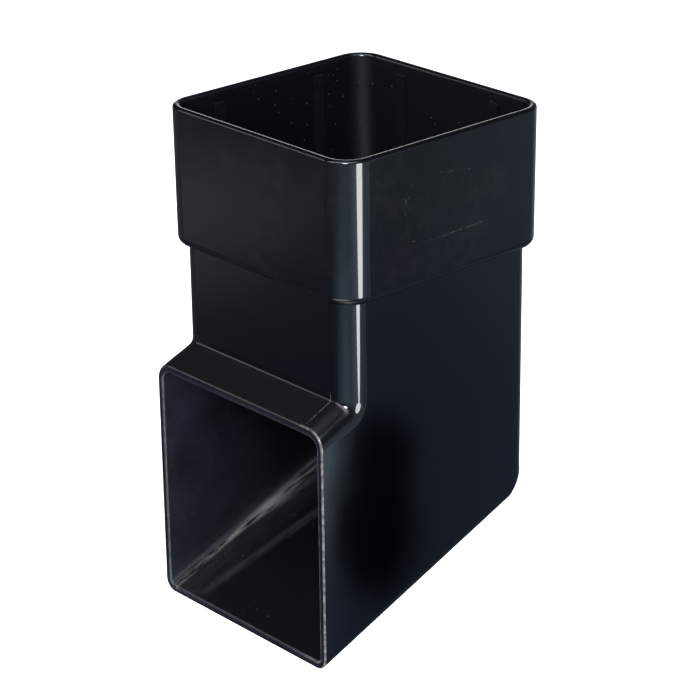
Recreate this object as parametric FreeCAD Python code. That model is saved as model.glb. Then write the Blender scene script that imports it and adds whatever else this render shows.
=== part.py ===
"""Square downpipe shoe, moulded in one piece.

The pipe drops into the socket from above and lands on a ledge. Below it the square body runs down and
turns forward into a sloping outlet with an upright rim.

Frame: millimetres, +Z up along the pipe, the outlet faces -Y. The origin is on the pipe's axis, on the
ledge where the pipe ends.
"""
import FreeCAD, Part
import math
import os

# The pipe and its socket
pipe_side = 65.0            # outside of the square pipe
pipe_play = 0.35            # gap round the pipe at the ledge
socket_flare = 0.15         # how far each wall leans out from the ledge to the mouth
socket_depth = 35.5         # from the ledge to the mouth
bore_corner = 5.8           # inside corner radius of the socket at the ledge
ledge_width = 2.6           # how far the ledge stands in from the socket wall
ledge_thickness = 2.2
foot_round = 2.8            # outer round under the socket
wall = 2.0

# Grip ribs in the socket, two on each wall
rib_play = 0.1              # gap between the pipe and a rib
rib_width = 3.4
rib_spacing = 34.4
rib_below_mouth = 3.3

# The body and its outlet
body_corner = 6.0           # outside radius of the upright corners, down to the fold
rim_corner = 4.5            # outside radius of the roof's edges at the rim
floor_corner = 3.2          # outside radius of the floor's edges
front_drop = 29.05          # from the ledge to the fold where the front wall turns into the roof
fold_round = 1.0
outlet_reach = 41.4         # from the pipe's axis to the rim
roof_slope = 24.0           # fall of the roof, degrees
floor_slope = 21.2          # fall of the floor, degrees
outlet_height = 67.0        # upright height of the rim
heel_round = 10.0           # outside radius where the back wall turns into the floor

# Edges of the mouth and of the rim
lip_round = 0.5
least_round = 0.4           # smallest inside radius that is moulded

overcut = 5.0               # how far a cutting form runs past the face that it opens
tiny = 1e-6                 # places closer than this are the same

bore_side = pipe_side + 2 * pipe_play
body_side = bore_side - 2 * ledge_width + 2 * wall
roof_length = outlet_reach - body_side / 2
roof_at_rim = -front_drop - roof_length * math.tan(math.radians(roof_slope))
floor_at_rim = roof_at_rim - outlet_height


def rounded_wire(corners):
    """Closed wire through corner points, each with the radius of the arc that replaces it."""
    count = len(corners)
    starts, ends, arcs = [], [], []
    for i, (point, radius) in enumerate(corners):
        to_last = (corners[i - 1][0] - point).normalize()
        to_next = (corners[(i + 1) % count][0] - point).normalize()
        half_angle = to_last.getAngle(to_next) / 2
        reach = radius / math.tan(half_angle)
        depth = radius / math.sin(half_angle) - radius
        starts.append(point + to_last * reach)
        ends.append(point + to_next * reach)
        middle = point + (to_last + to_next).normalize() * depth
        arcs.append(Part.Arc(starts[i], middle, ends[i]).toShape() if radius else None)
    edges = []
    for i, arc in enumerate(arcs):
        if arc:
            edges.append(arc)
        edges.append(Part.makeLine(ends[i], starts[(i + 1) % count]))
    return Part.Wire(edges)


def square_wire(side, corner, z):
    """Rounded square about the pipe's axis."""
    half = side / 2
    places = ((half, half), (-half, half), (-half, -half), (half, -half))
    return rounded_wire([(FreeCAD.Vector(x, y, z), corner) for x, y in places])


def socket_form(inset, bottom, top):
    """Flared square column, inset from the socket's outer skin."""
    outlines = []
    for z in (bottom, top):
        growth = wall - inset + socket_flare * z / socket_depth
        outlines.append(square_wire(bore_side + 2 * growth, bore_corner + growth, z))
    return Part.makeLoft(outlines, True, True)


def body_form(inset, top, front):
    """Body and outlet as one side profile drawn across the width, inset from the outer skin."""
    half = body_side / 2 - inset

    def sloping(y, at_rim, degrees, raised):
        fall = math.radians(degrees)
        return at_rim + (y + outlet_reach) * math.tan(fall) + raised / math.cos(fall)

    def roof(y):
        return sloping(y, roof_at_rim, roof_slope, -inset)

    def floor(y):
        return sloping(y, floor_at_rim, floor_slope, inset)

    profile = (
        (half, top, 0),
        (half, floor(half), max(heel_round - inset, least_round)),
        (front, floor(front), 0),
        (front, roof(front), 0),
        (-half, roof(-half), fold_round + inset),
        (-half, top, 0),
    )
    outline = rounded_wire([(FreeCAD.Vector(-half, y, z), radius) for y, z, radius in profile])
    form = Part.Face(outline).extrude(FreeCAD.Vector(2 * half, 0, 0))

    def radius_at(place):
        on_floor = abs(place.z - floor(place.y)) < tiny
        behind_rim = min((place.y + outlet_reach) / roof_length, 1)
        upper_corner = rim_corner + (body_corner - rim_corner) * behind_rim
        return max((floor_corner if on_floor else upper_corner) - inset, least_round)

    return round_long_edges(form, top, front, radius_at)


def round_long_edges(form, top, front, radius_at):
    """Round the edges of the two side faces, apart from those at the top and at the open front."""
    document = FreeCAD.newDocument("rounding")
    base = document.addObject("Part::Feature", "base")
    base.Shape = form
    rounded = document.addObject("Part::Fillet", "rounded")
    rounded.Base = base
    radii = []
    for number, edge in enumerate(base.Shape.Edges, 1):
        start, end = (edge.valueAt(t) for t in edge.ParameterRange)
        across = abs(start.x - end.x) > tiny
        at_top = min(start.z, end.z) > top - tiny
        at_front = max(start.y, end.y) < front + tiny
        if not (across or at_top or at_front):
            radii.append((number, radius_at(start), radius_at(end)))
    rounded.Edges = radii
    document.recompute()
    shape = rounded.Shape.copy()
    FreeCAD.closeDocument(document.Name)
    return shape


def grip_ribs():
    """Upright ribs on the four socket walls, with flat faces that just clear the pipe."""
    face = pipe_side / 2 + rib_play
    root = bore_side / 2 + socket_flare + wall / 2
    height = socket_depth - rib_below_mouth
    ribs = []
    for turn in (0, 90, 180, 270):
        for middle in (-rib_spacing / 2, rib_spacing / 2):
            corner = FreeCAD.Vector(face, middle - rib_width / 2, 0)
            rib = Part.makeBox(root - face, rib_width, height, corner)
            rib.rotate(FreeCAD.Vector(0, 0, 0), FreeCAD.Vector(0, 0, 1), turn)
            ribs.append(rib)
    return ribs


def round_edges(shape, radius, on_face):
    """Round every edge that lies wholly on a face, told by a test of place."""
    picked = []
    for edge in shape.Edges:
        first, last = edge.ParameterRange
        places = (edge.valueAt(t) for t in (first, (first + last) / 2, last))
        if all(on_face(place) for place in places):
            picked.append(edge)
    return shape.makeFillet(radius, picked)


def shoe():
    """Socket and body joined outside, hollowed through, with the ribs and the rounded lips."""
    socket = socket_form(0, -ledge_thickness, socket_depth)
    socket = round_edges(socket, foot_round, lambda place: place.z < tiny - ledge_thickness)
    solid = socket.fuse(body_form(0, -ledge_thickness / 2, -outlet_reach)).removeSplitter()

    bore = socket_form(wall, 0, socket_depth + overcut)
    passage = body_form(wall, overcut, -outlet_reach - overcut)
    solid = solid.cut(bore).cut(passage)
    solid = solid.fuse(grip_ribs()).removeSplitter()

    solid = round_edges(solid, lip_round, lambda place: place.z > socket_depth - tiny)
    return round_edges(solid, lip_round, lambda place: place.y < tiny - outlet_reach)


os.makedirs("parts", exist_ok=True)
shoe().exportStep("parts/shoe_body.step")
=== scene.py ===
"""Looks of a square downpipe shoe: its smooth moulded skin, the glossy black plastic and a pale studio.

The shoe is one moulding. Its skin is modelled here with smoother rounds than the construction model has, at
the same main sizes and in the same frame: metres, +Z up along the pipe, the outlet facing -Y, and the origin
on the ledge where the pipe ends.
"""
import math

import bmesh
import bpy
from bpy.props import FloatProperty, FloatVectorProperty, IntProperty, PointerProperty
from mathutils import Matrix, Vector


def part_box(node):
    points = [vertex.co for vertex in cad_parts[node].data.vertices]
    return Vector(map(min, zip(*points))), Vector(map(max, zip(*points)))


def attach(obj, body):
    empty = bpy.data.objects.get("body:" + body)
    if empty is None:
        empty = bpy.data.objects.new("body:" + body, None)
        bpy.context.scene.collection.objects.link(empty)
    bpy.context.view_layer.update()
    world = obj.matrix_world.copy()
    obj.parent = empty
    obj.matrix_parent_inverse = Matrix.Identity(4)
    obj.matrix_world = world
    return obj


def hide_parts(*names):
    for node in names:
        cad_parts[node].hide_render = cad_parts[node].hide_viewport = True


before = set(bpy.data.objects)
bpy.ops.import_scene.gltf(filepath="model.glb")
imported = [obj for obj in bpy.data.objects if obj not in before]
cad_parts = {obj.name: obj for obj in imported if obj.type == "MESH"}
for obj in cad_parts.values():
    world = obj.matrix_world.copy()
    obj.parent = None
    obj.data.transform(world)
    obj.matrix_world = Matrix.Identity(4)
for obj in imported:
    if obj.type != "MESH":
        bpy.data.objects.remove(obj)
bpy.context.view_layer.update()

bl_info = {
    "name": "Downpipe Shoe",
    "version": (1, 0, 0),
    "blender": (4, 5, 0),
    "location": "3D View > Sidebar > Downpipe Shoe",
    "description": "Models the skin of a square downpipe shoe, its black plastic and a pale studio",
    "category": "Object",
}

MM = 0.001
NODE = "shoe_body"
LOW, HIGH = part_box(NODE)
TINY = 0.01 * MM               # places closer than this are the same
INSIDE = "inside"              # vertex attribute: one on the inner skin
WEAR_AND_HIGHLIGHT = "wear_and_highlight"                  # vertex attribute: how worn the rim's lips and the ribs are, and where the lower seam gets a painted highlight
FACING = 0.999                 # least cosine between two normals that face the same way
SHARP = math.radians(30)       # edges of an open end that turn by more get a round
SMOOTH = math.radians(40)      # edges that turn by less are shaded smooth
BACK_CORNER = 1.6              # least y - x round the mouth's back corner, in half widths of the socket
PLASTIC_IOR = 1.5


def length(title, about, millimetres):
    """A length property, given in millimetres."""
    return FloatProperty(
        name=title, description=about, default=millimetres * MM, min=0.0, unit="LENGTH", precision=5
    )


def angle(title, about, degrees):
    """An angle property, given in degrees."""
    return FloatProperty(name=title, description=about, default=math.radians(degrees), unit="ROTATION")


def share(title, about, value):
    """A property between nothing and all."""
    return FloatProperty(name=title, description=about, default=value, min=0.0, max=1.0, subtype="FACTOR")


def colour(title, about, value):
    """A linear colour property."""
    return FloatVectorProperty(
        name=title, description=about, default=value, min=0.0, soft_max=1.0, subtype="COLOR"
    )


def count(title, about, value):
    """A property that counts faces or parts."""
    return IntProperty(name=title, description=about, default=value, min=2)


class ShoeSizes(bpy.types.PropertyGroup):
    """Sizes of the moulding that its box doesn't give."""
    wall: length("Wall", "Thickness of every wall", 2.0)
    flare: length("Flare", "How far each socket wall leans out from the ledge to the mouth", 0.15)
    bore_corner: length("Bore corner", "Inside corner radius of the socket", 5.8)
    ledge_width: length("Ledge width", "How far the ledge stands in from the socket wall", 2.6)
    ledge_thickness: length("Ledge thickness", "Thickness of the step under the socket", 2.2)
    foot_round: length("Foot round", "Outer round under the socket", 2.5)
    body_corner: length("Body corner", "Outside radius of the upright corners, down to the fold", 6.0)
    rim_corner: length("Rim corner", "Outside radius of the roof's edges at the rim", 4.5)
    floor_corner: length("Floor corner", "Outside radius of the floor's edges", 3.2)
    fold_drop: length("Fold drop", "From the ledge to the fold between the front wall and the roof", 29.05)
    fold_round: length("Fold round", "Outside radius of the fold", 1.0)
    roof_slope: angle("Roof slope", "Fall of the roof", 24.0)
    floor_slope: angle("Floor slope", "Fall of the floor", 21.2)
    heel_round: length("Heel round", "Outside radius where the back wall turns into the floor", 10.0)
    lip_round: length("Lip round", "Round on the edges of the rim", 0.5)
    mouth_round: length("Mouth round", "Round on the edges of the mouth", 0.85)
    rib_width: length("Rib width", "Width of a grip rib in the socket", 3.4)
    rib_spacing: length("Rib spacing", "Between the two ribs on a wall", 34.4)
    rib_gap: length("Rib gap", "Between the faces of two ribs that look at each other", 65.2)
    rib_below_mouth: length("Rib below mouth", "From the mouth down to the top of a rib", 3.3)
    rib_above_ledge: length("Rib above ledge", "From the ledge up to the foot of a rib", 0.3)
    rib_slope: length("Rib slope", "How far the top of a rib slopes down", 0.3)
    rib_wear: share("Rib wear", "How worn the ribs are, against the rim's lips", 0.08)
    seam_place: length("Seam place", "Where the mould's seam runs, from the middle of the front", 25.6)
    seam_width: length("Seam width", "Width of the mould's seam", 0.3)
    seam_height: length("Seam height", "How far the mould's seam stands out", 0.08)
    round_steps: count("Round steps", "Faces across each corner round", 16)
    roof_steps: count("Roof steps", "Parts of the roof along its fall", 8)
    heel_steps: count("Heel steps", "Faces round the heel", 48)
    lip_steps: count("Lip steps", "Faces across each lip, the fold and the foot", 5)


class ShoeFinish(bpy.types.PropertyGroup):
    """Looks of the plastic, of what lies on it, and of the painted shade and highlights on it."""
    plastic: colour("Plastic", "Body colour of the moulding", (0.0002, 0.0003, 0.0005))
    film_and_shade: colour("Film", "Colour of the dull film on the inner skin", (0.0110, 0.0125, 0.0190))
    # The dust colour also paints the highlights inside the outlet, on the side lips and on the seam
    dust_and_highlight: colour("Dust", "Colour of dust, scuffs and dried dirt", (0.44, 0.41, 0.37))
    gloss: share("Roughness", "Roughness of the outer skin", 0.04)
    inner_gloss: share("Inner roughness", "Roughness of the inner skin", 0.41)
    lip_gloss: share("Lip roughness", "Roughness of the worn lips", 0.18)
    specks: share("Specks", "Dust in the specks on the inner skin", 0.11)
    scuffs: share("Scuffs", "Dust in the scratches on the socket", 0.07)
    rubbed: share("Rubbed", "Dust in the rubbed patches on the socket", 0.009)
    settled: share("Settled", "Dust that has settled on the roof", 0.0095)
    lips: share("Lips", "Dust in all worn lips", 0.02)
    # Painted highlights: more dust colour on the lips of the outlet's right-hand and left-hand sides, to make
    # bright lines of light there
    right_lip_highlight: share("Right lip", "Further dust in the lips on the outlet's right-hand side", 0.27)
    left_lip_highlight: share("Left lip", "Further dust in the lips on the outlet's left-hand side", 0.08)
    # The next three paint highlights inside the outlet: a bright streak in the floor's left-hand corner, a
    # sheen round it and a reflection line on the floor
    outlet_highlight: share("Dirt", "Dried dirt inside the outlet", 0.37)
    streak_sheen: share("Haze", "Thin dirt round the smear inside the outlet, against the smear", 0.08)
    run: share("Run", "Dirt in the run on the outlet's floor, against the smear", 0.13)


class ShoeStage(bpy.types.PropertyGroup):
    """Camera, floor and light."""
    lens: FloatProperty(
        name="Lens", description="Focal length on a full frame", default=136.293, unit="CAMERA"
    )
    turn: angle("Turn", "Camera's turn from the outlet's front towards +X", 47.81)
    height: angle("Height", "Camera's angle above the horizon", 22.74)
    roll: angle("Roll", "Camera's roll", -0.68)
    distance: length("Distance", "From the camera to the point that it looks at", 698.22)
    aim: FloatProperty(
        name="Aim", description="Height of the point looked at", default=-34.5 * MM, unit="LENGTH"
    )
    nudge: FloatVectorProperty(
        name="Nudge", description="Camera's step to the right and up", size=2,
        default=(-1.8 * MM, 1.97 * MM), unit="LENGTH", precision=5
    )
    floor_size: length("Floor size", "Side of the square floor", 20000.0)
    floor: colour("Floor", "Colour of the floor", (0.9, 0.9, 0.9))
    floor_drop: length("Floor drop", "From the shoe's lowest point to the floor", 500.0)
    floor_glow: FloatProperty(name="Floor glow", description="Strength of the floor's own light", default=1.1)


# Picking and shaping in edit mode

def pick(kind, wanted):
    """Select just the vertices, edges or faces that are wanted, in edit mode."""
    bpy.ops.mesh.select_mode(type=kind)
    bpy.ops.mesh.select_all(action="DESELECT")
    data = bpy.context.object.data
    mesh = bmesh.from_edit_mesh(data)
    parts = {"VERT": mesh.verts, "EDGE": mesh.edges, "FACE": mesh.faces}[kind]
    found = [part for part in parts if wanted(part)]
    if not found:
        raise RuntimeError(f"nothing to pick on {bpy.context.object.name}")
    for part in found:
        part.select_set(True)
    mesh.select_flush_mode()
    bmesh.update_edit_mesh(data)


def lies(part, test):
    """True if every corner of an edge or a face passes a test of place."""
    return all(test(vert.co) for vert in part.verts)


def level(axis, value):
    """Test of place: on the plane where that axis has that value."""
    return lambda place: abs(place[axis] - value) < TINY


def bend_offset(radius, half_angle):
    """How far from a corner a bevel starts so that the middle of its curve lies on an arc of that radius."""
    depth = radius / math.sin(half_angle) - radius
    return depth / ((2 - math.sqrt(2)) * math.cos(half_angle))


def bevel_corner(place, radius, half_angle, steps):
    """Round one corner of a flat outline that lies across X."""
    pick("VERT", lambda vert: (vert.co.yz - Vector(place)).length < TINY)
    bpy.ops.mesh.bevel(
        offset_type="OFFSET", offset=bend_offset(radius, half_angle), segments=steps, affect="VERTICES"
    )


def round_edges(radius, steps):
    """Round the selected edges."""
    bpy.ops.mesh.bevel(offset_type="OFFSET", offset=radius, segments=steps, affect="EDGES")


def extrude(value):
    """Draw the selected faces out by a step."""
    bpy.ops.mesh.extrude_region_move(TRANSFORM_OT_translate={"value": value})


def in_round(vert):
    """True if a vertex lies inside the round that was just made, and not on its border."""
    return all(face.select for face in vert.link_faces)


def mark(name, value=1.0, wanted=None):
    """Set a vertex attribute on the selected vertices, or on those of them that are wanted."""
    data = bpy.context.object.data
    mesh = bmesh.from_edit_mesh(data)
    layer = mesh.verts.layers.float.get(name) or mesh.verts.layers.float.new(name)
    for vert in mesh.verts:
        if vert.select and (wanted is None or wanted(vert)):
            vert[layer] = value
    bmesh.update_edit_mesh(data)


def start(name):
    """Name the new active object and its data."""
    bpy.context.object.name = name
    bpy.context.object.data.name = name
    return bpy.context.object


def clear_selection():
    """Leave edit mode and deselect everything."""
    if bpy.context.object and bpy.context.object.mode != "OBJECT":
        bpy.ops.object.mode_set(mode="OBJECT")
    bpy.ops.object.select_all(action="DESELECT")


# The moulding

class Outline:
    """Side outline of the body and the outlet, worked out from the sizes and inset from the outer skin."""

    def __init__(self, sizes, inset, top):
        self.half = HIGH.x - sizes.flare - sizes.ledge_width - inset
        self.front = LOW.y
        self.top = top
        self.roof_length = -self.front - (self.half + inset)
        self.half_fold = (math.pi / 2 + sizes.roof_slope) / 2
        self.half_heel = (math.pi / 2 + sizes.floor_slope) / 2
        roof_at_rim = -sizes.fold_drop - self.roof_length * math.tan(sizes.roof_slope)
        lip_lift = 1 - math.tan((math.pi / 2 - sizes.floor_slope) / 2)
        # The rim's round takes the floor's sharp end away, so that end starts a little below the box
        floor_at_rim = LOW.z - sizes.lip_round * lip_lift + TINY

        def sloping(y, at_rim, fall, raised):
            return at_rim + (y - self.front) * math.tan(fall) + raised / math.cos(fall)

        def roof(y):
            return sloping(y, roof_at_rim, sizes.roof_slope, -inset)

        def floor(y):
            return sloping(y, floor_at_rim, sizes.floor_slope, inset)

        self.fold = (-self.half, roof(-self.half))
        self.heel = (self.half, floor(self.half))
        self.floor_end = (self.front, floor(self.front))
        self.roof_end = (self.front, roof(self.front))
        self.corners = (
            (self.half, top),
            self.heel,
            self.floor_end,
            self.roof_end,
            self.fold,
            (-self.half, top),
        )


def mould_tube(name, sizes, inset, top):
    """Open tube of the body and the outlet: a side outline, drawn across and rounded along its edges."""
    outline = Outline(sizes, inset, top)
    clear_selection()
    bpy.ops.mesh.primitive_circle_add(vertices=len(outline.corners), fill_type="NGON", enter_editmode=True)
    tube = start(name)
    mesh = bmesh.from_edit_mesh(tube.data)
    for vert, (y, z) in zip(mesh.verts, outline.corners):
        vert.co = (-outline.half, y, z)
    bmesh.update_edit_mesh(tube.data)
    bevel_corner(outline.heel, sizes.heel_round - inset, outline.half_heel, sizes.heel_steps)
    bevel_corner(outline.fold, sizes.fold_round + inset, outline.half_fold, sizes.lip_steps)
    bpy.ops.mesh.select_all(action="SELECT")
    extrude((2 * outline.half, 0, 0))
    bpy.ops.mesh.select_all(action="SELECT")
    bpy.ops.mesh.normals_make_consistent(inside=False)
    roof_part = outline.roof_length / sizes.roof_steps
    roof_cuts = [outline.front + roof_part * i for i in range(1, sizes.roof_steps)]
    roof_tilt = Vector((0, -math.sin(sizes.roof_slope), math.cos(sizes.roof_slope)))
    cut(lambda face: face.normal.dot(roof_tilt) > FACING, 1, roof_cuts)
    weigh_long_edges(tube, sizes, inset, outline)
    bpy.ops.object.mode_set(mode="OBJECT")
    rounds = tube.modifiers.new("Long edges", "BEVEL")
    rounds.limit_method = "WEIGHT"
    rounds.width = sizes.body_corner - inset
    rounds.segments = sizes.round_steps
    rounds.use_clamp_overlap = False
    bpy.ops.object.modifier_apply(modifier=rounds.name)
    bpy.ops.object.mode_set(mode="EDIT")
    pick("FACE", lambda face: lies(face, level(2, top)) or lies(face, level(1, outline.front)))
    bpy.ops.mesh.delete(type="FACE")
    if inset:
        bpy.ops.mesh.select_all(action="SELECT")
        bpy.ops.mesh.flip_normals()
        mark(INSIDE)
    bpy.ops.object.mode_set(mode="OBJECT")
    return tube


def weigh_long_edges(tube, sizes, inset, outline):
    """Give the side faces' edges their share of the widest round: less at the rim and along the floor."""
    mesh = bmesh.from_edit_mesh(tube.data)
    weights = mesh.edges.layers.float.new("bevel_weight_edge")
    widest = sizes.body_corner - inset
    at_floor = (sizes.floor_corner - inset) / widest
    at_rim = (sizes.rim_corner - inset) / widest
    for edge in mesh.edges:
        first, last = (vert.co for vert in edge.verts)
        across = abs(first.x - last.x) > TINY
        at_top = lies(edge, level(2, outline.top))
        at_front = lies(edge, level(1, outline.front))
        if across or at_top or at_front:
            continue
        middle = (first + last) / 2
        run = last - first
        turned = math.atan2(abs(run.y), abs(run.z)) / (math.pi / 2 - sizes.floor_slope)
        behind_rim = min((middle.y - outline.front) / outline.roof_length, 1)
        if middle.z < outline.roof_end[1]:
            edge[weights] = 1 + (at_floor - 1) * turned
        else:
            edge[weights] = at_rim + (1 - at_rim) * behind_rim
    bmesh.update_edit_mesh(tube.data)


def mould_socket(sizes):
    """Flared square tube with a rounded foot, open at the foot and bored from the mouth to the ledge."""
    foot = -sizes.ledge_thickness
    depth = HIGH.z
    half_at_ledge = HIGH.x - sizes.flare
    half_at_foot = half_at_ledge + sizes.flare * foot / depth
    clear_selection()
    bpy.ops.mesh.primitive_plane_add(size=2 * half_at_foot, location=(0, 0, 0), enter_editmode=True)
    socket = start("socket")
    bpy.ops.transform.translate(value=(0, 0, foot))
    corner = sizes.bore_corner + sizes.wall
    bpy.ops.mesh.bevel(offset_type="OFFSET", offset=corner, segments=sizes.round_steps, affect="VERTICES")
    extrude((0, 0, depth - foot))
    widen = HIGH.x / half_at_foot
    bpy.ops.transform.resize(value=(widen, widen, 1))
    bpy.ops.mesh.inset(thickness=sizes.wall, use_even_offset=True)
    mark(INSIDE)
    extrude((0, 0, -depth))
    narrow = (half_at_ledge - sizes.wall) / (HIGH.x - sizes.wall)
    bpy.ops.transform.resize(value=(narrow, narrow, 1))
    bpy.ops.mesh.delete(type="FACE")
    pick("EDGE", lambda edge: lies(edge, level(2, foot)))
    round_edges(sizes.foot_round, sizes.lip_steps)
    pick("FACE", lambda face: lies(face, level(2, foot)))
    bpy.ops.mesh.delete(type="FACE")
    bpy.ops.mesh.select_all(action="SELECT")
    bpy.ops.mesh.normals_make_consistent(inside=False)
    bpy.ops.object.mode_set(mode="OBJECT")
    return socket


def bridge(axis, value):
    """Close the skin between two open loops that lie on one plane."""
    on_plane = level(axis, value)
    pick("EDGE", lambda edge: edge.is_boundary and lies(edge, on_plane))
    bpy.ops.mesh.bridge_edge_loops()


def round_lip(sizes, axis, value, radius):
    """Round the sharp edges that lie on the plane of an open end."""
    on_plane = level(axis, value)
    pick("EDGE", lambda edge: lies(edge, on_plane) and edge.calc_face_angle() > SHARP)
    round_edges(radius, sizes.lip_steps)


def cut(wanted, axis, values):
    """Cut the wanted faces along planes across one axis."""
    across = Vector([float(i == axis) for i in range(3)])
    for value in values:
        pick("FACE", wanted)
        bpy.ops.mesh.bisect(plane_co=across * value, plane_no=across)


def between(face, axis, low, high):
    """True if a face lies between two values on one axis."""
    return lies(face, lambda place: low - TINY < place[axis] < high + TINY)


def raise_ribs(sizes, axis, side):
    """Two upright grip ribs on one wall of the socket, with flat faces and sloping tops."""
    along = 1 - axis
    wall_place = HIGH.x - sizes.flare - sizes.wall
    foot = sizes.rib_above_ledge
    top = HIGH.z - sizes.rib_below_mouth
    middles = (-sizes.rib_spacing / 2, sizes.rib_spacing / 2)
    half_width = sizes.rib_width / 2

    def on_wall(face):
        inwards = face.normal[axis] * side < -FACING
        return inwards and lies(face, lambda place: place[axis] * side > wall_place - TINY)

    def on_rib(face):
        return (
            on_wall(face)
            and between(face, 2, foot, top)
            and any(between(face, along, middle - half_width, middle + half_width) for middle in middles)
        )

    cut(on_wall, along, [middle + edge for middle in middles for edge in (-half_width, half_width)])
    cut(on_wall, 2, (foot, top))
    pick("FACE", on_rib)
    out = Vector((0, 0, 0))
    out[axis] = -side * sizes.flare
    extrude(out)
    flat = Vector((1, 1, 1))
    flat[axis] = 0
    centre = Vector((0, 0, 0))
    centre[axis] = side * sizes.rib_gap / 2
    bpy.ops.transform.resize(value=flat, center_override=centre)
    mark(WEAR_AND_HIGHLIGHT, sizes.rib_wear)
    on_face = level(axis, side * sizes.rib_gap / 2)
    pick("EDGE", lambda edge: lies(edge, on_face) and lies(edge, level(2, top)))
    bpy.ops.transform.translate(value=(0, 0, -sizes.rib_slope))


def raise_seam(sizes):
    """Fine line left by the mould, down the front wall, over the fold and along the roof."""
    outline = Outline(sizes, 0.0, -sizes.ledge_thickness)
    gap = 2 * sizes.lip_round
    top = outline.top - gap
    highlight_below = outline.fold[1] + 3 * gap
    rim = outline.front + gap
    roof_end = outline.roof_end[1]
    edges = [sizes.seam_place - sizes.seam_width / 2, sizes.seam_place + sizes.seam_width / 2]

    def on_front(face):
        square_to_x = abs(face.normal.x) < 0.01
        frontwards = face.normal.z - face.normal.y > 0.5
        behind_rim = lies(face, lambda place: outline.front < place.y < TINY - outline.half)
        return square_to_x and frontwards and behind_rim and between(face, 2, roof_end - TINY, outline.top)

    def on_seam(face):
        in_line = between(face, 0, *edges) and between(face, 1, rim, 0.0) and between(face, 2, LOW.z, top)
        return on_front(face) and in_line

    cut(on_front, 0, edges)
    cut(on_front, 2, (top, highlight_below))
    cut(on_front, 1, (rim,))
    pick("FACE", on_seam)
    bpy.ops.mesh.extrude_region_shrink_fatten(TRANSFORM_OT_shrink_fatten={"value": sizes.seam_height})
    # The seam's part over the fold and along the roof is marked, which paints a highlight line on it
    mark(WEAR_AND_HIGHLIGHT, wanted=lambda vert: vert.co.z < highlight_below - TINY)


def mould_shoe(sizes):
    """The whole skin in one mesh: the socket and two tubes joined by the step, the ledge and the rim."""
    outer = mould_tube("outer", sizes, 0.0, -sizes.ledge_thickness)
    inner = mould_tube("inner", sizes, sizes.wall, 0.0)
    shoe = mould_socket(sizes)
    clear_selection()
    for part in (outer, inner, shoe):
        part.select_set(True)
    bpy.context.view_layer.objects.active = shoe
    bpy.ops.object.join()
    start("downpipe_shoe")
    bpy.ops.object.mode_set(mode="EDIT")
    bridge(2, -sizes.ledge_thickness)
    bridge(2, 0.0)
    bridge(1, LOW.y)
    round_lip(sizes, 2, HIGH.z, sizes.mouth_round)
    # The lip at the mouth's back corner is as glossy as the outer skin
    mark(INSIDE, 0.0, lambda vert: vert.co.y - vert.co.x > BACK_CORNER * HIGH.x and in_round(vert))
    round_lip(sizes, 1, LOW.y, sizes.lip_round)
    mark(WEAR_AND_HIGHLIGHT, wanted=in_round)
    for axis in (0, 1):
        for side in (-1, 1):
            raise_ribs(sizes, axis, side)
    raise_seam(sizes)
    bpy.ops.object.mode_set(mode="OBJECT")
    bpy.ops.object.shade_smooth_by_angle(angle=SMOOTH)
    even = shoe.modifiers.new("Flat walls", "WEIGHTED_NORMAL")
    even.keep_sharp = True
    bpy.ops.object.modifier_apply(modifier=even.name)
    return shoe


# Shader nodes

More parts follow.
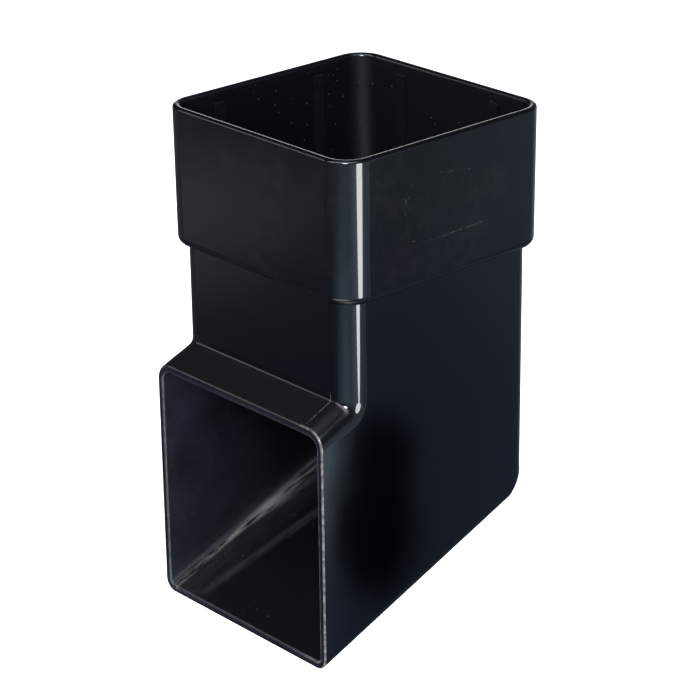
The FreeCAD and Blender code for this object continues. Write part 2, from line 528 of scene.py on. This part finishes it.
class Nodes:
    """Adds nodes to a tree from left to right and links them by name."""

    def __init__(self, tree):
        self.tree = tree
        self.tree.nodes.clear()

    def add(self, kind, settings=None, **inputs):
        """Add a node. Each input is a value or another node's output."""
        node = self.tree.nodes.new(kind)
        node.location.x = 200 * len(self.tree.nodes)
        for name, value in (settings or {}).items():
            setattr(node, name, value)
        for name, value in inputs.items():
            self.feed(node, name, value)
        return node

    def feed(self, node, name, value):
        """Set or link one input, named by its label or by its place as in_0."""
        if name.startswith("in_"):
            socket = node.inputs[int(name[3:])]
        else:
            socket = node.inputs[name.replace("_", " ")]
        if isinstance(value, bpy.types.NodeSocket):
            self.tree.links.new(value, socket)
        else:
            socket.default_value = value

    def maths(self, operation, *values, clamp=False):
        """Output of one maths node."""
        inputs = {f"in_{i}": value for i, value in enumerate(values)}
        return self.add("ShaderNodeMath", {"operation": operation, "use_clamp": clamp}, **inputs).outputs[0]

    def gather(self, operation, first, *others):
        """Output of one kind of maths that takes in several values, one after another."""
        for other in others:
            first = self.maths(operation, first, other)
        return first

    def noise(self, place, scale, **inputs):
        """Value of a cloudy noise."""
        return self.add("ShaderNodeTexNoise", Vector=place, Scale=scale, **inputs).outputs["Fac"]

    def split(self, vector):
        """The three outputs X, Y and Z of a vector."""
        return self.add("ShaderNodeSeparateXYZ", Vector=vector).outputs

    def attribute(self, name):
        """Value of a vertex attribute."""
        return self.add("ShaderNodeAttribute", {"attribute_name": name}).outputs["Fac"]

    def vector(self, operation, *values, **named):
        """Output of one vector maths node: its number where it gives one, and its vector otherwise."""
        inputs = {f"in_{i}": value for i, value in enumerate(values)}
        node = self.add("ShaderNodeVectorMath", {"operation": operation}, **inputs, **named)
        return node.outputs["Value" if operation in ("LENGTH", "DOT_PRODUCT", "DISTANCE") else "Vector"]

    def blend(self, share_of_second, first, second, mode="MIX"):
        """Colour output of one mix node."""
        node = self.add("ShaderNodeMix", {"data_type": "RGBA", "blend_type": mode})
        self.feed(node, "in_0", share_of_second)
        self.feed(node, "in_6", first)
        self.feed(node, "in_7", second)
        return node.outputs[2]

    def ramp(self, value, stops):
        """Colour output of a ramp whose stops are places from nothing to one, each with its colour."""
        node = self.add("ShaderNodeValToRGB", Fac=value)
        elements = node.color_ramp.elements
        while len(elements) < len(stops):
            elements.new(1.0)
        for element, (place, tint) in zip(elements, stops):
            element.position = place
            element.color = (*tint, 1)
        return node.outputs["Color"]

    def step(self, value, low, high):
        """Smooth rise from nothing at low to all at high."""
        node = self.add("ShaderNodeMapRange", {"interpolation_type": "SMOOTHSTEP"}, Value=value)
        self.feed(node, "From Min", low)
        self.feed(node, "From Max", high)
        return node.outputs["Result"]


# Scratches on the socket's right-hand wall, in millimetres: (y, z) at both ends, and the width
SCRATCHES = (
    ((-7.2, 9.5), (13.1, 9.9), 0.30),
    ((-13.0, 25.5), (-15.0, 23.2), 0.25),
    ((-15.0, 23.2), (-15.4, 19.4), 0.20),
    ((-15.4, 19.4), (-14.3, 15.5), 0.25),
    ((-12.4, 24.6), (-14.2, 22.0), 0.15),
    ((-3.5, 26.3), (6.9, 24.9), 0.15),
    ((-17.0, 11.3), (-11.0, 10.6), 0.20),
)


def speckle(nodes, place, spacing, largest):
    """Mask of small round specks of different sizes, one to a cell."""
    cells = nodes.add("ShaderNodeTexVoronoi", Vector=place, Scale=1 / spacing)
    chance = nodes.add("ShaderNodeSeparateColor", Color=cells.outputs["Color"]).outputs[0]
    reach = nodes.maths("MULTIPLY", nodes.maths("POWER", chance, 3.0), largest / spacing)
    return nodes.step(cells.outputs["Distance"], reach, nodes.maths("MULTIPLY", reach, 0.5))


def scratch(nodes, place, first, last, width):
    """Mask of a fine line between two places."""
    run = last - first
    from_first = nodes.vector("SUBTRACT", place, first)
    onto_run = nodes.vector("DOT_PRODUCT", from_first, run)
    along = nodes.maths("DIVIDE", onto_run, run.length_squared, clamp=True)
    from_line = nodes.vector("SUBTRACT", from_first, nodes.vector("SCALE", run, Scale=along))
    return nodes.step(nodes.vector("LENGTH", from_line), width, 0.0)


def scuffs(nodes, place):
    """Mask of the scratches on the socket, slightly bent and broken up."""
    wobble = nodes.add("ShaderNodeTexNoise", Vector=place, Scale=0.5).outputs["Color"]
    bent = nodes.vector("ADD", place, nodes.vector("SUBTRACT", wobble, (0.5, 0.5, 0.5)))
    wall = HIGH.x / MM - 0.05    # place of the leaning wall about two thirds up
    lines = [
        scratch(nodes, bent, Vector((wall, *first)), Vector((wall, *last)), width)
        for first, last, width in SCRATCHES
    ]
    broken = nodes.noise(place, 1.1, Detail=3.0)
    return nodes.maths("MULTIPLY", nodes.gather("MAXIMUM", *lines), nodes.step(broken, 0.38, 0.62))


def painted_outlet_highlights(nodes, place, sizes, finish):
    """Mask of painted highlights in the outlet: a bright streak in the floor's left-hand corner, a painted
    sheen round it, and a painted reflection line on the floor.
    """
    outline = Outline(sizes, sizes.wall, 0.0)
    rim_y, rim_z = outline.floor_end
    at = nodes.split(place)
    streaks = nodes.noise(nodes.vector("MULTIPLY", place, (1.0, 0.12, 0.4)), 0.9, Detail=4.0)

    # Millimetres from the left-hand wall, above the floor, and off the painted streak's middle
    from_wall = nodes.maths("ADD", at["X"], outline.half / MM)
    fall = math.tan(sizes.floor_slope)
    floor_z = nodes.maths("MULTIPLY_ADD", at["Y"], fall, (rim_z - rim_y * fall) / MM)
    above = nodes.maths("SUBTRACT", at["Z"], floor_z)
    off_corner = nodes.maths("ABSOLUTE", nodes.maths("SUBTRACT", from_wall, 2.0))
    off_line = nodes.maths("MAXIMUM", off_corner, nodes.maths("MULTIPLY", above, 4.0))

    # The painted streak is wider at its back, has ragged sides, and fades towards both ends and the wall
    width = nodes.maths("MULTIPLY_ADD", nodes.step(at["Y"], -20.0, 0.0), 4.2, 1.8)
    across = nodes.maths("DIVIDE", off_line, width)
    ragged = nodes.maths("ADD", across, nodes.maths("MULTIPLY_ADD", streaks, 0.9, -0.45))
    painted_streak = nodes.gather(
        "MULTIPLY",
        nodes.step(ragged, 1.0, 0.1),
        nodes.step(streaks, 0.3, 0.65),
        nodes.maths("MULTIPLY_ADD", nodes.step(at["Y"], 0.0, -10.0), 0.55, 0.45),
        nodes.maths("MULTIPLY_ADD", nodes.step(at["Y"], -14.0, -34.0), -0.4, 1.0),
        nodes.step(from_wall, 0.0, 1.6),
    )
    # Painted sheen round the streak
    streak_sheen = nodes.maths("MULTIPLY", nodes.step(off_line, 16.0, 1.0), nodes.step(streaks, 0.0, 0.9))
    painted_streak = nodes.maths("MULTIPLY_ADD", streak_sheen, finish.streak_sheen, painted_streak)
    painted_streak = nodes.maths("MULTIPLY", painted_streak, nodes.step(at["Y"], 24.0, 2.0))

    # The painted reflection line lies on the floor only, from near the rim to the back
    reflection_front = Vector((-19.0, -39.0, 0.0))
    reflection_back = Vector((-13.0, -3.0, 0.0))
    on_plan = nodes.vector("MULTIPLY", place, (1.0, 1.0, 0.0))
    run = nodes.gather(
        "MULTIPLY",
        scratch(nodes, on_plan, reflection_front, reflection_back, 2.6),
        nodes.step(above, 3.0, 1.0),
        nodes.step(streaks, 0.0, 0.8),
        finish.run,
    )
    return nodes.maths("MAXIMUM", painted_streak, run)


def black_plastic(finish, sizes):
    """Glossy black moulding with dust, scuffs and worn lips, duller and dustier on its inner skin, with
    painted shade and painted highlights inside the outlet and painted highlights on the lips of its sides and
    on the seam.
    """
    material = bpy.data.materials.new("black_plastic")
    material.use_nodes = True
    nodes = Nodes(material.node_tree)
    coordinates = nodes.add("ShaderNodeTexCoord").outputs
    place = nodes.vector("SCALE", coordinates["Object"], Scale=1 / MM)
    at = nodes.split(place)
    upwards = nodes.step(nodes.split(coordinates["Normal"])["Z"], 0.6, 0.9)
    inside = nodes.attribute(INSIDE)
    outside = nodes.maths("SUBTRACT", 1.0, inside)
    wear_and_highlight = nodes.attribute(WEAR_AND_HIGHLIGHT)
    cloud = nodes.noise(place, 0.05, Detail=4.0, Distortion=0.8)
    mottle = nodes.noise(place, 0.3, Detail=8.0, Roughness=0.65)
    nicks = nodes.noise(place, 0.7, Detail=3.0)

    # Dull film inside the outlet, thickest towards the rim; it fades out deep in the outlet, which paints
    # shade there, fades out upwards into the socket, and is thin on the floor
    film_and_shade = nodes.gather(
        "MULTIPLY",
        inside,
        nodes.step(at["Y"], 8.0, -36.0),
        nodes.step(at["Z"], -5.0, -35.0),
        nodes.step(cloud, 0.0, 0.9),
        nodes.maths("MULTIPLY_ADD", upwards, -0.9, 1.0),
    )

    # Dust that settled on the roof, rubbed patches on the socket, and the nicked lips
    on_roof = nodes.maths("MULTIPLY", upwards, nodes.step(at["Z"], -20.0, -26.0))
    settled = nodes.gather("MULTIPLY", outside, on_roof, nodes.maths("SUBTRACT", 1.0, wear_and_highlight))
    patches = nodes.maths("MULTIPLY", nodes.step(mottle, 0.35, 0.85), nodes.step(cloud, 0.35, 0.7))
    rubbed = nodes.gather("MULTIPLY", outside, patches, nodes.step(at["Z"], -4.0, 3.0))
    nicked = nodes.maths("MULTIPLY_ADD", nodes.step(nicks, 0.35, 0.7), 0.7, 0.3)
    # Extra dust colour on the lips of the outlet's right-hand and left-hand sides paints the bright lines of
    # light along them; the ribs and the seam near those sides get it too
    lips = nodes.maths("MULTIPLY_ADD", nodes.step(at["X"], 20.0, 31.0), finish.right_lip_highlight, finish.lips)
    lips = nodes.maths("MULTIPLY_ADD", nodes.step(at["X"], -27.0, -31.0), finish.left_lip_highlight, lips)
    dust_and_highlight = nodes.gather(
        "MAXIMUM",
        nodes.gather("MULTIPLY", inside, speckle(nodes, place, 1.5, 0.28), finish.specks),
        nodes.maths("MULTIPLY", rubbed, finish.rubbed),
        nodes.maths("MULTIPLY", scuffs(nodes, place), finish.scuffs),
        nodes.gather("MULTIPLY", wear_and_highlight, nicked, lips),
        # Painted highlights inside the outlet: the streak, its sheen and the reflection line
        nodes.gather("MULTIPLY", inside, painted_outlet_highlights(nodes, place, sizes, finish), finish.outlet_highlight),
        nodes.maths("MULTIPLY", settled, finish.settled),
    )
    base = nodes.blend(film_and_shade, (*finish.plastic, 1), (*finish.film_and_shade, 1))
    base = nodes.blend(dust_and_highlight, base, (*finish.dust_and_highlight, 1))

    # The floor inside is a little glossier than its walls, and dust and rubbing dull the outer skin
    floor_inside = nodes.maths("MULTIPLY", inside, upwards)
    roughness = nodes.maths("MULTIPLY_ADD", inside, finish.inner_gloss - finish.gloss, finish.gloss)
    for mask, change in ((floor_inside, -0.07), (rubbed, 0.03), (settled, 0.22)):
        roughness = nodes.maths("MULTIPLY_ADD", mask, change, roughness)
    roughness = nodes.maths("MAXIMUM", roughness, nodes.maths("MULTIPLY", wear_and_highlight, finish.lip_gloss))

    # Relief in thousandths of a millimetre: the lips' nicks, the walls' slight swell and a fine grain
    swell = nodes.noise(place, 0.07, Detail=1.0)
    grain = nodes.noise(place, 1.5, Detail=2.0)
    relief = nodes.gather("MULTIPLY", wear_and_highlight, nicks, 9.0)
    relief = nodes.maths("MULTIPLY_ADD", swell, 12.0, relief)
    relief = nodes.maths("MULTIPLY_ADD", grain, 0.6, relief)
    bump = nodes.add("ShaderNodeBump", Height=relief, Distance=0.001 * MM).outputs["Normal"]
    shader = nodes.add(
        "ShaderNodeBsdfPrincipled", Base_Color=base, Roughness=roughness, IOR=PLASTIC_IOR, Normal=bump
    )
    nodes.add("ShaderNodeOutputMaterial", Surface=shader.outputs[0])
    return material


class SHOE_OT_mould(bpy.types.Operator):
    """Model the shoe's skin and give it its plastic"""
    bl_idname = "shoe.mould"
    bl_label = "Mould Shoe"

    def execute(self, context):
        shoe = mould_shoe(context.scene.shoe_sizes)
        shoe.data.materials.clear()
        shoe.data.materials.append(black_plastic(context.scene.shoe_finish, context.scene.shoe_sizes))
        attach(shoe, "root")
        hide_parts(NODE)
        return {"FINISHED"}


# The stage

def direction(turn, height):
    """Direction at a turn off +X and an angle above the horizon."""
    return Vector((math.cos(turn) * math.cos(height), math.sin(turn) * math.cos(height), math.sin(height)))


def set_camera(scene, stage):
    """Long lens on the outlet's right-hand corner, looking down."""
    back = direction(stage.turn - math.pi / 2, stage.height)
    right = Vector((math.cos(stage.turn), math.sin(stage.turn), 0))
    up = back.cross(right)
    tilted_right = right * math.cos(stage.roll) + up * math.sin(stage.roll)
    tilted_up = up * math.cos(stage.roll) - right * math.sin(stage.roll)
    target = Vector((0, 0, stage.aim))
    eye = target + back * stage.distance + tilted_right * stage.nudge[0] + tilted_up * stage.nudge[1]
    axes = Matrix((tilted_right, tilted_up, back)).transposed().to_4x4()
    bpy.ops.object.camera_add()
    camera = start("Camera")
    camera.matrix_world = Matrix.Translation(eye) @ axes
    camera.data.lens = stage.lens
    scene.camera = camera


def set_floor(stage):
    """Wide pale floor, well below the shoe and left out of its reflections."""
    bpy.ops.mesh.primitive_plane_add(size=stage.floor_size, location=(0, 0, LOW.z - stage.floor_drop))
    floor = start("floor")
    floor.visible_glossy = False
    material = bpy.data.materials.new("pale_floor")
    material.use_nodes = True
    nodes = Nodes(material.node_tree)
    shader = nodes.add("ShaderNodeBsdfPrincipled")
    for name in ("Base Color", "Emission Color"):
        shader.inputs[name].default_value = (*stage.floor, 1)
    shader.inputs["Emission Strength"].default_value = stage.floor_glow
    nodes.add("ShaderNodeOutputMaterial", Surface=shader.outputs[0])
    floor.data.materials.append(material)


def softbox(name, turn, height, distance, size, power, tint=(1.0, 1.0, 1.0)):
    """Soft light that faces the shoe from a turn off +X and an angle above the horizon, in degrees."""
    towards = direction(math.radians(turn), math.radians(height))
    facing = towards.to_track_quat("Z", "Y").to_matrix().to_4x4()
    bpy.ops.object.light_add(type="AREA")
    light = start(name)
    light.matrix_world = Matrix.Translation(towards * distance) @ facing
    light.data.shape = "ELLIPSE"
    light.data.size, light.data.size_y = size
    light.data.energy = power
    light.data.color = tint


# Tints of the room's light
COOL = Vector((0.61, 0.78, 1.00))
DUSK = Vector((0.73, 0.77, 1.00))
GREY = Vector((0.85, 0.90, 1.00))
# Light of the room near the horizon: the turn off +X in degrees, how bright it is there, and its tint
ROOM_BY_TURN = (
    (-180, 0.14, GREY),
    (-158, 0.23, DUSK),
    (-150, 0.25, DUSK),
    (-140, 0.20, DUSK),
    (-120, 0.28, COOL),
    (-84, 0.50, COOL),
    (-60, 0.77, COOL),
    (-36, 0.82, COOL),
    (24, 0.82, COOL),
    (41.4, 0.84, COOL),
    (42.1, 0.36, COOL),
    (42.8, 0.30, COOL),
    (47, 0.49, COOL),
    (75, 0.26, COOL),
    (100, 0.44, GREY),
    (135, 0.11, GREY),
    (160, 0.09, GREY),
    (180, 0.14, GREY),
)
# How that light changes with the angle above the horizon in degrees
ROOM_BY_HEIGHT = (
    (-90, (0.4, 0.4, 0.4)),
    (-45, (0.55, 0.55, 0.57)),
    (-29, (0.55, 0.57, 0.71)),
    (-24, (0.60, 0.60, 0.73)),
    (-22, (0.78, 0.78, 0.86)),
    (-20, (1.0, 1.0, 1.0)),
    (0, (1.0, 1.0, 1.0)),
    (15, (0.35, 0.35, 0.35)),
    (90, (0.35, 0.35, 0.35)),
)
CEILING = (0.50, 0.57, 0.70)
# Soft oval cards, in order: their middle's turn and height, half their width and height, all in degrees, the
# share of them that is flat, how they join the room's light, and their colour
CARDS = (
    (-50, -75, 100, 30, 0.0, "MIX", (1.60, 1.65, 1.70)),
    (-5, -22, 36, 14, 0.0, "ADD", (0.80, 1.00, 1.20)),
    (-142.5, -20.0, 6.0, 2.5, 0.0, "ADD", (0.24, 0.25, 0.29)),
    (-160, -33, 25, 6, 0.0, "ADD", (0.10, 0.10, 0.10)),
    (-62, -26, 60, 7, 0.0, "ADD", (0.52, 0.90, 1.05)),
    (-72, -40, 52, 13, 0.2, "ADD", (3.40, 3.50, 3.60)),
    (-140, 17, 18, 18, 0.0, "ADD", (2.20, 2.20, 2.25)),
    (-164, 46, 20, 12, 0.0, "ADD", (0.20, 0.20, 0.25)),
    (-54, 46, 80, 26, 0.4, "ADD", (3.60, 3.80, 4.40)),
    (-104, 25, 24, 11, 0.3, "ADD", (5.00, 5.00, 5.20)),
    (138, 0, 16, 19, 0.6, "ADD", (2.40, 2.40, 2.40)),
    (41.2, -24.5, 1.1, 4.0, 0.0, "ADD", (1.10, 1.40, 1.60)),
    (42.7, -26.6, 1.45, 2.2, 0.42, "MIX", (0.0, 0.0, 0.0)),
    (42.85, -25.0, 1.2, 1.3, 0.3, "MIX", (0.0, 0.0, 0.0)),
)


class Room(Nodes):
    """Light from all round the shoe, by the direction that it comes from."""

    def __init__(self, tree):
        super().__init__(tree)
        towards = self.split(self.add("ShaderNodeTexCoord").outputs["Generated"])
        self.turn = self.maths("DEGREES", self.maths("ARCTAN2", towards["Y"], towards["X"]))
        self.height = self.maths("DEGREES", self.maths("ARCSINE", towards["Z"]))

    def spread(self, value, half_range, stops):
        """Ramp over degrees on both sides of zero."""
        share_of_range = self.maths("MULTIPLY_ADD", value, 0.5 / half_range, 0.5)
        placed = [(0.5 + 0.5 * degrees / half_range, tint) for degrees, tint in stops]
        return self.ramp(share_of_range, placed)

    def card(self, turn, height, half_width, half_height, flat):
        """Mask of a soft oval card, in degrees: all of it within its flat share, nothing past its edge."""
        across = self.maths("DIVIDE", self.maths("SUBTRACT", self.turn, turn), half_width)
        up = self.maths("DIVIDE", self.maths("SUBTRACT", self.height, height), half_height)
        both = self.maths("ADD", self.maths("POWER", across, 2.0), self.maths("POWER", up, 2.0))
        return self.step(self.maths("SQRT", both), 1.0, flat)


def set_room(scene):
    """Dim soft room with a pale ceiling and pale and dark cards round it, white where the camera sees it."""
    world = bpy.data.worlds.new("studio")
    scene.world = world
    world.use_nodes = True
    room = Room(world.node_tree)
    tinted = [(degrees, brightness * tint) for degrees, brightness, tint in ROOM_BY_TURN]
    round_about = room.spread(room.turn, 180, tinted)
    light = room.blend(1.0, round_about, room.spread(room.height, 90, ROOM_BY_HEIGHT), "MULTIPLY")
    light = room.blend(room.step(room.height, 55, 85), light, (*CEILING, 1))
    for *oval, mode, tint in CARDS:
        light = room.blend(room.card(*oval), light, (*tint, 1), mode)
    dim = room.add("ShaderNodeBackground", Color=light)
    white = room.add("ShaderNodeBackground", Color=(1, 1, 1, 1))
    seen = room.add("ShaderNodeLightPath").outputs["Is Camera Ray"]
    mix = room.add("ShaderNodeMixShader", in_0=seen, in_1=dim.outputs[0], in_2=white.outputs[0])
    room.add("ShaderNodeOutputWorld", Surface=mix.outputs[0])


class SHOE_OT_stage(bpy.types.Operator):
    """Set the camera, the floor and the light"""
    bl_idname = "shoe.stage"
    bl_label = "Set Stage"

    def execute(self, context):
        stage = context.scene.shoe_stage
        clear_selection()
        set_camera(context.scene, stage)
        set_floor(stage)
        set_room(context.scene)
        softbox("right_strip", turn=-1, height=-13, distance=1.2, size=(0.46, 0.50), power=8)
        softbox(
            "front_key", turn=-50, height=24, distance=1.5, size=(0.5, 0.5), power=20, tint=(0.92, 0.97, 1.15)
        )
        context.scene.view_settings.view_transform = "Standard"
        return {"FINISHED"}


class SHOE_PT_panel(bpy.types.Panel):
    """Panel of the shoe's sizes and operators"""
    bl_label = "Downpipe Shoe"
    bl_idname = "SHOE_PT_panel"
    bl_space_type = "VIEW_3D"
    bl_region_type = "UI"
    bl_category = "Downpipe Shoe"

    def draw(self, context):
        for group in (context.scene.shoe_sizes, context.scene.shoe_finish, context.scene.shoe_stage):
            for name in group.bl_rna.properties.keys():
                if name not in ("rna_type", "name"):
                    self.layout.prop(group, name)
        for operator in (SHOE_OT_mould, SHOE_OT_stage):
            self.layout.operator(operator.bl_idname)


CLASSES = (ShoeSizes, ShoeFinish, ShoeStage, SHOE_OT_mould, SHOE_OT_stage, SHOE_PT_panel)


def register():
    """Register the classes and hang the settings on the scene."""
    for item in CLASSES:
        bpy.utils.register_class(item)
    bpy.types.Scene.shoe_sizes = PointerProperty(type=ShoeSizes)
    bpy.types.Scene.shoe_finish = PointerProperty(type=ShoeFinish)
    bpy.types.Scene.shoe_stage = PointerProperty(type=ShoeStage)


def unregister():
    """Take the settings off the scene and unregister the classes."""
    del bpy.types.Scene.shoe_stage
    del bpy.types.Scene.shoe_finish
    del bpy.types.Scene.shoe_sizes
    for item in reversed(CLASSES):
        bpy.utils.unregister_class(item)


def main():
    """Build the shoe and its stage."""
    register()
    bpy.ops.shoe.mould()
    bpy.ops.shoe.stage()


if __name__ == "__main__":
    main()
